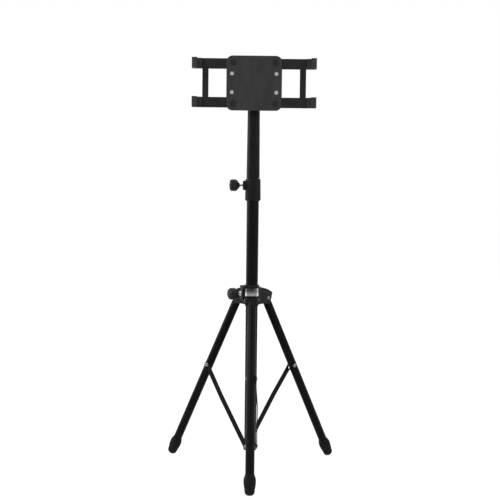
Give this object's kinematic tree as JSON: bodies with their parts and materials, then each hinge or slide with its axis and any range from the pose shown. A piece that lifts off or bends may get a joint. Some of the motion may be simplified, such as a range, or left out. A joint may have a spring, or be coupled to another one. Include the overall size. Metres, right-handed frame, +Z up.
{
  "type": "tripod stand",
  "caption": "Free-standing stand for a tablet or phone: folding braced legs, sliding hub, telescopic mast with clamp knobs and a tilting, turning gripping holder.",
  "frame": {"origin": "on the floor under the mast's axis", "axes": "+Z up along the mast, -Y towards the user, along the front leg; +X to the user's right"},
  "size_m": [0.2894, 0.2527, 0.684],
  "materials": {
    "tube_black": "semi-gloss black powder coat",
    "brace_black": "semi-gloss black paint",
    "sleeve_black": "satin moulded black",
    "hub_black": "satin moulded black",
    "knob_black": "satin moulded black",
    "holder_black": "fine-grained moulded black",
    "claw_black": "satin moulded black",
    "plate_black": "fine-textured black powder coat",
    "foot_rubber": "matt black rubber",
    "pad_rubber": "matt black rubber",
    "liner_plastic": "plain moulded dark grey",
    "label_silver": "brushed bare metal plate",
    "rivet_nickel": "bright nickel",
    "zinc_steel": "bright zinc"
  },
  "bodies": {
    "mast": {"mast_tube": "tube_black", "bottom_bracket": "hub_black", "bracket_rivets": "rivet_nickel", "collar_clamp": "sleeve_black", "collar_bush": "liner_plastic", "collar_nut": "zinc_steel"},
    "collar_screw": {"collar_screw": "zinc_steel"},
    "collar_knob": {"collar_knob": "knob_black"},
    "hub": {"hub_body": "hub_black", "hub_cap": "hub_black", "hub_bush": "liner_plastic", "hub_label": "label_silver", "hub_pins": "rivet_nickel", "hub_nut": "zinc_steel"},
    "hub_screw": {"hub_screw": "zinc_steel"},
    "hub_knob": {"hub_knob": "knob_black"},
    "front_leg": {"front_leg_tube": "tube_black", "front_leg_knuckle": "sleeve_black", "front_foot": "foot_rubber", "front_brace_rivet": "rivet_nickel"},
    "right_leg": {"right_leg_tube": "tube_black", "right_leg_knuckle": "sleeve_black", "right_foot": "foot_rubber", "right_brace_rivet": "rivet_nickel"},
    "left_leg": {"left_leg_tube": "tube_black", "left_leg_knuckle": "sleeve_black", "left_foot": "foot_rubber", "left_brace_rivet": "rivet_nickel"},
    "front_brace": {"front_brace": "brace_black"},
    "right_brace": {"right_brace": "brace_black"},
    "left_brace": {"left_brace": "brace_black"},
    "riser": {"inner_tube": "tube_black", "inner_bush": "liner_plastic", "neck_sleeve": "sleeve_black"},
    "yoke": {"swivel_yoke": "holder_black", "tilt_bolt": "zinc_steel", "tilt_washers": "zinc_steel"},
    "tilt_knob": {"tilt_knob": "knob_black"},
    "tilt_block": {"tilt_block": "holder_black", "spin_bolt": "zinc_steel", "spin_washer": "zinc_steel"},
    "holder": {"holder_body": "holder_black", "holder_cover": "holder_black", "cover_screws": "zinc_steel", "rest_pads": "pad_rubber", "friction_pads": "pad_rubber"},
    "left_arm": {"left_bracket": "plate_black", "left_claws": "claw_black", "left_claw_pads": "pad_rubber", "left_claw_screws": "zinc_steel"},
    "right_arm": {"right_bracket": "plate_black", "right_claws": "claw_black", "right_claw_pads": "pad_rubber", "right_claw_screws": "zinc_steel"}
  },
  "joints": [
    {"name": "collar_screw_travel", "type": "slide", "parent": "mast", "child": "collar_screw", "axis": [-1, 0, 0], "range_m": [0, 0.0021]},
    {"name": "collar_knob_turn", "type": "hinge", "parent": "collar_screw", "child": "collar_knob", "pos_m": [-0.03, 0, 0.4744], "axis": [-1, 0, 0], "range_deg": [0, 1080]},
    {"name": "hub_slide", "type": "slide", "parent": "mast", "child": "hub", "axis": [0, 0, 1], "range_m": [0, 0.0334]},
    {"name": "hub_screw_travel", "type": "slide", "parent": "hub", "child": "hub_screw", "axis": [-0.866, -0.5, 0], "range_m": [0, 0.0021]},
    {"name": "hub_knob_turn", "type": "hinge", "parent": "hub_screw", "child": "hub_knob", "pos_m": [-0.02598, -0.015, 0.2958], "axis": [-0.866, -0.5, 0], "range_deg": [0, 1080]},
    {"name": "front_leg_fold", "type": "hinge", "parent": "hub", "child": "front_leg", "pos_m": [0, -0.026, 0.287], "axis": [1, 0, 0], "range_deg": [0, 25.19]},
    {"name": "right_leg_fold", "type": "hinge", "parent": "hub", "child": "right_leg", "pos_m": [0.02252, 0.013, 0.287], "axis": [-0.5, 0.866, 0], "range_deg": [0, 25.19]},
    {"name": "left_leg_fold", "type": "hinge", "parent": "hub", "child": "left_leg", "pos_m": [-0.02252, 0.013, 0.287], "axis": [-0.5, -0.866, 0], "range_deg": [0, 25.19]},
    {"name": "front_brace_fold", "type": "hinge", "parent": "mast", "child": "front_brace", "pos_m": [0, -0.002, 0.036], "axis": [-1, 0, 0], "range_deg": [0, 22.54]},
    {"name": "right_brace_fold", "type": "hinge", "parent": "mast", "child": "right_brace", "pos_m": [0.00173, 0.001, 0.036], "axis": [0.5, -0.866, 0], "range_deg": [0, 22.54]},
    {"name": "left_brace_fold", "type": "hinge", "parent": "mast", "child": "left_brace", "pos_m": [-0.00173, 0.001, 0.036], "axis": [0.5, 0.866, 0], "range_deg": [0, 22.54]},
    {"name": "mast_raise", "type": "slide", "parent": "mast", "child": "riser", "axis": [0, 0, 1], "range_m": [0, 0.3]},
    {"name": "head_pan", "type": "hinge", "parent": "riser", "child": "yoke", "pos_m": [0, 0, 0.605], "axis": [0, 0, 1], "continuous": true},
    {"name": "tilt_knob_turn", "type": "hinge", "parent": "yoke", "child": "tilt_knob", "pos_m": [0.02, 0, 0.64], "axis": [1, 0, 0], "range_deg": [0, 360]},
    {"name": "head_tilt", "type": "hinge", "parent": "yoke", "child": "tilt_block", "pos_m": [0, 0, 0.64], "axis": [-1, 0, 0], "range_deg": [-5, 85]},
    {"name": "holder_turn", "type": "hinge", "parent": "tilt_block", "child": "holder", "pos_m": [0, -0.02, 0.64], "axis": [0, -1, 0], "continuous": true},
    {"name": "left_arm_slide", "type": "slide", "parent": "holder", "child": "left_arm", "axis": [1, 0, 0], "range_m": [-0.008, 0.024]},
    {"name": "right_arm_slide", "type": "slide", "parent": "holder", "child": "right_arm", "axis": [-1, 0, 0], "range_m": [-0.008, 0.024]}
  ],
  "couplings": [
    {"joint": "collar_screw_travel", "follows": "collar_knob_turn", "m_per_rad": 0.00011141},
    {"joint": "hub_screw_travel", "follows": "hub_knob_turn", "m_per_rad": 0.00011141},
    {"joint": "front_leg_fold", "follows": "hub_slide", "rad_per_m": 13.161},
    {"joint": "right_leg_fold", "follows": "hub_slide", "rad_per_m": 13.161},
    {"joint": "left_leg_fold", "follows": "hub_slide", "rad_per_m": 13.161},
    {"joint": "front_brace_fold", "follows": "hub_slide", "rad_per_m": 11.776},
    {"joint": "right_brace_fold", "follows": "hub_slide", "rad_per_m": 11.776},
    {"joint": "left_brace_fold", "follows": "hub_slide", "rad_per_m": 11.776}
  ]
}
